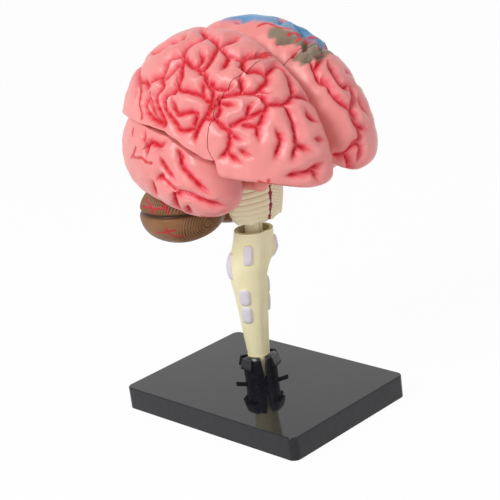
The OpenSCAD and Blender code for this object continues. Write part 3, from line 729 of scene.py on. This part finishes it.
def add_noise(nodes, links, scale, detail):
    place = nodes.new("ShaderNodeTexCoord")
    noise = nodes.new("ShaderNodeTexNoise")
    noise.inputs["Scale"].default_value = scale
    noise.inputs["Detail"].default_value = detail
    links.new(place.outputs["Object"], noise.inputs["Vector"])
    return noise.outputs["Fac"]

def uneven(nodes, links, noise, dark, light, low=0.3, high=0.7):
    """A colour that wanders from dark to light with the noise."""
    tone = nodes.new("ShaderNodeValToRGB")
    for element, at, colour in zip(tone.color_ramp.elements, (low, high), (dark, light)):
        element.position = at
        element.color = (*colour, 1)
    links.new(noise, tone.inputs[0])
    return tone.outputs[0]

def soft_step(nodes, links, value, low, high):
    soft = nodes.new("ShaderNodeMapRange")
    soft.interpolation_type = "SMOOTHSTEP"
    soft.inputs["From Min"].default_value = low
    soft.inputs["From Max"].default_value = high
    links.new(value, soft.inputs["Value"])
    return soft.outputs[0]

def over(nodes, links, factor, below, paint):
    """Lay paint over a colour where the factor is one."""
    mix = nodes.new("ShaderNodeMix")
    mix.data_type = "RGBA"
    links.new(factor, mix.inputs[0])
    links.new(below, mix.inputs[6])
    mix.inputs[7].default_value = (*paint, 1)
    return mix.outputs[2]

def add_bump(nodes, links, shader, height, strength, distance):
    bump = nodes.new("ShaderNodeBump")
    bump.inputs["Strength"].default_value = strength
    bump.inputs["Distance"].default_value = distance
    links.new(height, bump.inputs["Height"])
    links.new(bump.outputs[0], shader.inputs["Normal"])

def layer_value(nodes, name):
    node = nodes.new("ShaderNodeAttribute")
    node.attribute_name = name
    return node.outputs["Fac"]

print("helpers for noise, paint and bump are ready")

# %% [markdown]
# ## Pink PVC with painted furrows
# The moulding is satin pink. Crimson paint lies in the furrows and fades out at their shoulders,
# and a faint uneven tone breaks up the pink. The paint follows the distance that carved the form.
# A little light goes into soft plastic and comes out again, which subsurface scattering gives.

# %% The lobes' painted pink
CRIMSON = (0.80, 0.075, 0.115)
LOBE_PAINTS = {"line": (0.64, 0.022, 0.04), "blue": (0.08, 0.28, 0.52), "olive": (0.24, 0.18, 0.12),
               "vein": (0.62, 0.025, 0.03), "cut_face": (0.72, 0.23, 0.2)}

def painted_pink():
    material, shader, nodes, links = plain_material("painted_pink_pvc", (0.88, 0.32, 0.29), 0.36)
    colour = uneven(nodes, links, add_noise(nodes, links, 90, 4), (0.76, 0.235, 0.225), (0.84, 0.29, 0.275))
    valley = soft_step(nodes, links, layer_value(nodes, "furrow"), 0.05, 1.15)
    colour = over(nodes, links, valley, colour, CRIMSON)
    for layer, paint in LOBE_PAINTS.items():
        colour = over(nodes, links, layer_value(nodes, layer), colour, paint)
    links.new(colour, shader.inputs["Base Color"])
    add_bump(nodes, links, shader, add_noise(nodes, links, 900, 2), 0.12, 0.0003)
    shader.inputs["Subsurface Weight"].default_value = 0.08
    shader.inputs["Subsurface Radius"].default_value = (1.0, 0.35, 0.25)
    shader.inputs["Subsurface Scale"].default_value = 0.002
    return material

pink = painted_pink()
for piece in lobes.values():
    wear(piece, pink)
print(len(lobes), "lobes painted")

# %% [markdown]
# ## The cerebellum
# Two brown halves hang under the back. A deep cross furrow parts each into an upper and a lower
# lobe, and fine leaf-like ridges run over both: upright ones above, and rings around the front end
# below. They are carved into the mesh as a wave, so they catch light at the outline too.

# %% Cerebellum halves
CERE_CENTRE = np.array([15.05, 21, 97.0])
CERE_SIZE = np.array([19.95, 18, 14.5])
FRONT_END = np.array([17.0, 1, 92.0])
LEAF_PITCH, LEAF_DEPTH = 1.25, 0.42
CROSS_AT, CROSS_DEPTH, CROSS_WIDTH = 6, 1.4, 2.8
cere_veins = [[[17, 28], [-1, 18], [-5, 11]], [[20, 17], [2, 17], [-14, 18], [-25, 20]],
              [[-13, 31], [-22, 20], [-28, 14]], [[-3, -16], [-20, -14], [-34, -12]],
              [[-23, -9], [-26, -20], [-39, -26]]]

def cerebellum_from(d):
    return CERE_CENTRE + d * stop_at_middle(d, reach(d, CERE_SIZE, 2.2), CERE_CENTRE)[:, None]

def leafy(d):
    p = cerebellum_from(d)
    rise = np.degrees(np.arctan2(d[:, 2], np.hypot(d[:, 0], d[:, 1])))
    outer = np.clip((d[:, 0] + 0.45) * 3, 0, 1)
    cross = CROSS_DEPTH * hill(rise - CROSS_AT, CROSS_WIDTH) * outer
    end = np.linalg.norm(p - FRONT_END, axis=1)
    wavy = p[:, 1] + 0.35 * p[:, 2] + 0.5 * np.sin(p[:, 2] * 0.7)
    upright = (1 - np.abs(np.sin(wavy / LEAF_PITCH * math.pi))) ** 1.5
    rings = (1 - np.abs(np.sin(end / LEAF_PITCH * math.pi))) ** 1.5 * np.clip((19 - end) / 7, 0.25, 1)
    groove = np.where(rise > CROSS_AT, upright, rings) * outer * np.clip(np.abs(rise - CROSS_AT) / 5, 0, 1)
    near = nearest_on(walk_lines(cere_veins, cerebellum_from)[0], p)[1]
    # The darker brown in the leaf grooves and the cross furrow is painted shade; the veins are red paint.
    layers = {"furrow": np.clip(cross / 1.2, 0, 1), "groove_shade": groove, "vein": np.clip((0.7 - near) / 0.3, 0, 1)}
    return p - d * (cross + LEAF_DEPTH * groove)[:, None], layers

leaf_grid, leaf_faces = round_grid(90)
leaf_points, leaf_layers = leafy(leaf_grid)
CERE_PEG = round_bar((7.25, 11, 99), (7.25, -5, 99), PEG)
cerebellums = []
for side in ("right", "left"):
    flip = side == "right"
    piece = mesh_piece("cerebellum_form_" + side, leaf_points, leaf_faces, flip)
    apply_cut(piece, CERE_PEG, "UNION", flip)
    paint_from(piece, leaf_points, leaf_layers, flip)
    finish_surface(piece)
    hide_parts(f"cerebellum_{side}")
    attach(piece, "brain")
    cerebellums.append(piece)
    print(piece.name, len(piece.data.polygons), "faces")

# %% [markdown]
# ## Brown paint
# The brown is duller than the pink. The leaf grooves and the cross furrow get a darker brown as painted
# shade, and a few red arteries are brushed over them.

# %% The cerebellum's brown
# Painted shade in the leaf grooves and the cross furrow, and red paint for the veins.
LEAF_SHADE_AND_VEINS = {"groove_shade": (0.055, 0.02, 0.008), "furrow": (0.05, 0.02, 0.01), "vein": (0.45, 0.012, 0.03)}

def leaf_brown():
    material, shader, nodes, links = plain_material("leaf_brown_paint", (0.24, 0.11, 0.05), 0.42)
    colour = uneven(nodes, links, add_noise(nodes, links, 120, 4), (0.21, 0.088, 0.032), (0.30, 0.14, 0.056))
    for layer, paint in LEAF_SHADE_AND_VEINS.items():
        colour = over(nodes, links, layer_value(nodes, layer), colour, paint)
    links.new(colour, shader.inputs["Base Color"])
    shader.inputs["Specular IOR Level"].default_value = 0.3
    add_bump(nodes, links, shader, add_noise(nodes, links, 700, 2), 0.15, 0.0003)
    return material

brown = leaf_brown()
for piece in cerebellums:
    wear(piece, brown)
print("cerebellum painted")

# %% [markdown]
# ## The brain stem
# It is cream. The right half is ridged across like a stack of rolls, and the left half is pitted.
# Both are lofts: a ring of points for each height, joined by faces. A half-round plug under each
# half stands in the cord's mouth.

# %% Loft rings into a piece
def loft(name, rings, flip=False):
    """Join rings of points, one above the other, into a closed piece."""
    rows, n = len(rings), len(rings[0])
    piece = mesh_piece(name, np.vstack(rings), ring_walls(rows, n) + ring_ends(rows, n), flip)
    outward(piece)
    return piece

PONS_Z0, PONS_Z1 = 91.4, 110.6
ROLLS = 7

def pons_rings(ridged, rows=170, n=110):
    """Rings of one half from its bottom to its top, with paint for the seam and painted shade for the grooves
    and pits.
    """
    rings, seam, groove = [], [], []
    a = np.radians(np.linspace(90, -90, n))
    for f in np.linspace(0, 1, rows):
        belly = math.sin(min(1, f * 1.8) * math.pi / 2)
        deep = 10 * (0.82 + 0.18 * belly)
        if ridged:
            wide = 14.5 * (0.76 + 0.24 * belly) + 1.4 * min(1, max(0, (f - 0.35) / 0.4))
            roll = np.abs(np.sin(math.pi * ROLLS * (f + 0.03 * np.cos(a)))) ** 0.9
            k = 1 + 0.04 * (roll - 0.6)
            # The grooves between the rolls get painted shade, stronger towards the top.
            shade = (1 - roll) ** 1.5 * (0.35 + 0.65 * f)
        else:
            wide = 14.6 + 1.6 * f
            k = 1 + 0.014 * np.sin(a * 21 + f * 17) * math.sin(f * 60 + 2)
            # The pits get brown painted shade.
            shade = np.clip(2.6 * (np.sin(a * 33 + f * 9) * math.sin(f * 75) - 0.5), 0, 1.3)
        x = np.maximum(MID_GAP, k * wide * np.cos(a))
        z = PONS_Z0 + f * (PONS_Z1 - PONS_Z0) + 0.9 * np.abs(np.sin(a * 4.5)) * (1 - f) ** 4
        rings.append(np.c_[x, -9 - 1.5 * f + k * deep * np.sin(a), z])
        strip = np.clip((0.95 + 0.35 * np.sin(z * 1.1) - x) / 0.3, 0, 1) * (a < -0.8)
        low = np.clip((0.22 - f) / 0.1, 0, 1) * np.clip((np.cos(a) - 0.75) * 6, 0, 1) * (not ridged)
        seam.append(np.maximum(strip, low * 0.8))
        groove.append(shade)
    return rings, {"vein": np.concatenate(seam), "groove_shade": np.concatenate(groove)}

print("one half has", len(pons_rings(True)[0]), "rings")

# %% Brain stem halves
def half_plug(flip):
    """A half-round plug under one half, as a shape for the Boolean step."""
    bar = mesh_piece("plug_cutter", *round_bar((0, -7, 75), (0, -7, PONS_Z0 + 0.6), 4.0))
    outward(bar)
    apply_cut(bar, slab_box((MID_GAP, -12, 70), (8, -2, 95)), "INTERSECT", flip)
    shape = ([tuple(v.co / MM) for v in bar.data.vertices], [list(p.vertices) for p in bar.data.polygons])
    bpy.data.objects.remove(bar)
    return shape

stem_pieces = []
for side in ("right", "left"):
    flip = side == "right"
    rings, layers = pons_rings(side == "right")
    piece = loft("pons_" + side, rings, flip)
    apply_cut(piece, half_plug(flip), "UNION")
    apply_cut(piece, round_bar((7.25, 1, 99), (7.25, -5.3, 99), HOLE), "DIFFERENCE", flip)
    paint_from(piece, np.vstack(rings), layers, flip)
    finish_surface(piece, 40)
    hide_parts(f"brainstem_{side}")
    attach(piece, "brain")
    stem_pieces.append(piece)
    print(piece.name, len(piece.data.polygons), "faces")

# %% [markdown]
# ## The cord
# The cord widens upwards into a hollow mouth, bulges to both sides and carries pale raised pads. Its
# width and bulges are short tables over its height, because its outline in the photograph follows no
# simple curve. A pad is a rounded rectangle that lifts the wall by about a millimetre.

# %% The cord's sizes
CORD_Z0, CORD_Z1 = 24.7, 86.5
FOOT_WIDTH, GROWTH = 10.4, 6.8
FOOT_RADIUS = 5.2
MOUTH_WALL = 0.82
PAD_HEIGHT = 1.2
FRONT_GROOVE_AT, FRONT_GROOVE_DEPTH = 264, 1.1
CORD_SIDES = 150
cord_shape = [(0, -0.06), (0.16, 0.06), (0.33, 0.2), (0.5, 0.42), (0.62, 0.68), (0.72, 0.95), (0.8, 1.02),
              (0.88, 0.94), (0.95, 0.96), (1, 1)]
bulge_left = [(0, 0), (0.1, 0.5), (0.4, 2.2), (0.6, 3.4), (0.74, 3.2), (0.9, 1.2), (1, 0.3)]
bulge_right = [(0, 0.2), (0.3, 0), (0.5, -0.8), (0.64, -2.3), (0.72, -1.8), (0.84, 1.4), (0.93, 0.6), (1, 0)]
# Each bulge has its angle around the cord, its table and how many degrees it spreads.
bulges = ((146, bulge_left, 55), (322, bulge_right, 48))
# Each pad has its angle, its share of the height, and half of its height and of its width.
pads = [(207, 0.84, 4.7, 2.1), (316, 0.85, 5.2, 2.4), (150, 0.74, 6.3, 2.6), (35, 0.74, 6.3, 2.6),
        (190, 0.5, 4.3, 2.4), (190, 0.355, 4.4, 2.4), (322, 0.55, 4.2, 2.2), (322, 0.41, 4.4, 2.2)]
print(len(pads), "pads on a cord", round(CORD_Z1 - CORD_Z0, 1), "mm long")

# %% The cord with its pads and its hollow mouth
def cord_rings(rows=260, n=CORD_SIDES):
    """Rings up the cord, and for each point how far it belongs to a pad."""
    degrees = np.arange(n) * 360 / n
    turn = np.radians(degrees)
    def beside(angle):
        return (degrees - angle + 180) % 360 - 180
    rings, pad_paint = [], []
    for f in np.linspace(0, 1, rows):
        r = (FOOT_WIDTH + GROWTH * np.interp(f, *zip(*cord_shape))) / 2
        for angle, table, width in bulges:
            r = r + np.interp(f, *zip(*table)) * hill(np.abs(beside(angle)), width)
        z = CORD_Z0 + f * (CORD_Z1 - CORD_Z0)
        groove = np.clip(1 - np.abs(beside(FRONT_GROOVE_AT)) / 20, 0, 1) * min(1, 2 * f)
        r = r - FRONT_GROOVE_DEPTH * groove
        mark = np.zeros(n)
        for angle, share, half, wide in pads:
            across = np.radians(beside(angle)) * r / wide
            along = (z - CORD_Z0 - share * (CORD_Z1 - CORD_Z0)) / half
            mark = np.maximum(mark, np.clip(1 - across ** 4 - along ** 4, 0, 1))
        r = r + PAD_HEIGHT * mark ** 0.4
        y = -7 * f ** 1.4
        rings.append(np.c_[r * np.cos(turn), y + r * np.sin(turn), np.full(n, z)])
        pad_paint.append(mark)
    return rings, np.concatenate(pad_paint)

rings, pad_paint = cord_rings()
around = np.radians(np.arange(CORD_SIDES) * 360 / CORD_SIDES)
circle = np.c_[FOOT_RADIUS * np.cos(around), FOOT_RADIUS * np.sin(around)]
foot = [np.c_[circle * s, np.full(CORD_SIDES, z)] for s, z in ((0.9, 11.5), (1, 12.2), (1, 24.9))]
mouth = rings[-1]
inner = [np.c_[mouth[:, 0] * MOUTH_WALL, -7 + (mouth[:, 1] + 7) * MOUTH_WALL, mouth[:, 2] - depth]
         for depth in (0, 4, 11.5)]
cord = loft("spinal_cord_form", foot + rings[1:] + inner)
paint_from(cord, np.vstack(rings), {"pad": pad_paint}, False)
finish_surface(cord, 45)
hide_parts("spinal_stem")
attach(cord, "brain")
print(cord.name, len(cord.data.polygons), "faces")

# %% [markdown]
# ## Cream paint
# The same cream serves the cord and both halves of the brain stem. The grooves and pits of the brain stem
# get brown painted shade, dark red paint lies in its seam, and the cord's pads are pale lilac.

# %% Cream on the cord and the brain stem
CREAM_ROUGH = 0.4

def cream_paint(name, base, deep, pits_scale, pits_strength, marks):
    material, shader, nodes, links = plain_material(name, base, CREAM_ROUGH)
    colour = uneven(nodes, links, add_noise(nodes, links, 110, 4), deep, base)
    for layer, low, high, paint in marks:
        soft = soft_step(nodes, links, layer_value(nodes, layer), low, high)
        colour = over(nodes, links, soft, colour, paint)
    links.new(colour, shader.inputs["Base Color"])
    add_bump(nodes, links, shader, add_noise(nodes, links, pits_scale, 2), pits_strength, 0.0004)
    return material

wear(cord, cream_paint("cord_cream_paint", (0.86, 0.80, 0.52), (0.80, 0.72, 0.44), 600, 0.15,
                       [("pad", 0.02, 0.2, (0.70, 0.65, 0.72))]))
# Brown painted shade in the grooves and pits of the brain stem, and dark red paint in its seam.
stem_shade_and_seam = [("groove_shade", 0.1, 1.3, (0.42, 0.26, 0.13)), ("vein", 0.2, 0.8, (0.33, 0.02, 0.03))]
for piece, scale, strength in zip(stem_pieces, (600, 420), (0.15, 0.7)):
    wear(piece, cream_paint("stem_cream_" + piece.name, (0.88, 0.79, 0.55), (0.82, 0.71, 0.46), scale,
                            strength, stem_shade_and_seam))
print("cream paint done")

# %% [markdown]
# ## The collar
# Four springy prongs hold the foot of the cord. A turned tube is slit by wedges, and each prong gets
# a sloping head. A thin pointed flange lies on the plate below them.

# %% Shapes for the collar
COLLAR_R, COLLAR_TOP, PLATE_TOP = 7.8, 24.6, 10.7
COLLAR_HOLE, HEAD_HALF = 5.4, 3.3
HEAD_ANGLES, SLIT_ANGLES = (178, 290, 358, 110), (60, 150, 240, 330)
FLANGE_LONG, FLANGE_WIDE, FLANGE_TURN, FLANGE_THICK = 12.3, 3.3, -41, 1.1

def spoke(angle, out, sideways, height):
    """The point this far out along a spoke, this far beside it and at this height."""
    t = math.radians(angle)
    return (math.cos(t) * out - math.sin(t) * sideways, math.sin(t) * out + math.cos(t) * sideways, height)

def head(angle):
    profile = [(7.2, 19.3), (9.3, 19.3), (9.3, 19.9), (8.1, 24.2), (7.2, 24.2)]
    points = [spoke(angle, r, u, z) for u in (-HEAD_HALF, HEAD_HALF) for r, z in profile]
    return points, prism_faces(len(profile))

def slit(angle):
    wedge = [(-0.5, 14.6), (0.5, 14.6), (1.5, COLLAR_TOP + 1), (-1.5, COLLAR_TOP + 1)]
    return [spoke(angle, r, u, z) for r in (0, 12) for u, z in wedge], prism_faces(len(wedge))

def flange():
    """A thin sheet that runs to a point at both ends."""
    flat = []
    for v in np.radians(np.arange(0, 360, 10) + 5):
        flat.append((FLANGE_LONG * math.sin(v),
                     FLANGE_WIDE * math.cos(v) ** 2 * math.copysign(1, math.cos(v))))
    points = [spoke(FLANGE_TURN, x, y, z) for z in (PLATE_TOP, PLATE_TOP + FLANGE_THICK) for x, y in flat]
    return points, prism_faces(len(flat))

def upright(z0, z1, r0, r1=None, n=96):
    return round_bar((0, 0, z0), (0, 0, z1), r0, r1, n)

print("the flange has", len(flange()[0]), "points")

# %% Collar
RIM = 0.9
collar = mesh_piece("collar_form", *upright(PLATE_TOP, COLLAR_TOP - RIM, COLLAR_R))
outward(collar)
apply_cut(collar, upright(COLLAR_TOP - RIM, COLLAR_TOP, COLLAR_R, COLLAR_R - 0.7), "UNION")
for angle in HEAD_ANGLES:
    apply_cut(collar, head(angle), "UNION")
apply_cut(collar, flange(), "UNION")
apply_cut(collar, upright(11.1, 30, COLLAR_HOLE), "DIFFERENCE")
for angle in SLIT_ANGLES:
    apply_cut(collar, slit(angle), "DIFFERENCE")
apply_cut(collar, upright(PLATE_TOP - 3, PLATE_TOP + 0.2, 4.5, n=64), "UNION")
finish_surface(collar, 35)
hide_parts("stand_collet")
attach(collar, "stand")
print(collar.name, len(collar.data.polygons), "faces")

# %% [markdown]
# ## The pieces that keep their solids
# The plate, the cores, the rods and the middle block already have the right shape, so they keep
# their solid's mesh and get a real finish. Black gloss is nearly a mirror, and shows as black only
# because almost nothing else comes back from it.

# %% Finish the carried-over solids
def black_gloss(name, rough):
    material, shader, nodes, links = plain_material(name, (0.012, 0.012, 0.014), rough)
    film = add_noise(nodes, links, 400, 3)
    colour = uneven(nodes, links, film, (0.007, 0.007, 0.010), (0.014, 0.014, 0.019), 0.35, 0.75)
    links.new(colour, shader.inputs["Base Color"])
    shader.inputs["Specular IOR Level"].default_value = 0.36
    add_bump(nodes, links, shader, film, 0.02, 0.0002)
    return material

def core_paint(name, base, deep):
    material, shader, nodes, links = plain_material(name, base, 0.45)
    blotch = add_noise(nodes, links, 160, 4)
    links.new(uneven(nodes, links, blotch, deep, base, 0.35, 0.65), shader.inputs["Base Color"])
    add_bump(nodes, links, shader, blotch, 0.2, 0.0004)
    return material

wear(collar, black_gloss("collar_black", 0.2))
finishes = {"base_plate": black_gloss("plate_black", 0.06),
            "thalamus_block": core_paint("middle_block_paint", (0.5, 0.28, 0.2), (0.4, 0.2, 0.14))}
dark_red = core_paint("core_dark_red", (0.4, 0.06, 0.05), (0.25, 0.035, 0.03))
rod_pink = core_paint("rod_pink", (0.9, 0.33, 0.27), (0.8, 0.25, 0.2))
for side in ("right", "left"):
    finishes["insula_" + side] = dark_red
    finishes["hippocampus_" + side] = rod_pink
for name, material in finishes.items():
    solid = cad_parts[name]
    solid.data.materials.clear()
    solid.data.materials.append(material)
print("finished", len(finishes), "solids")
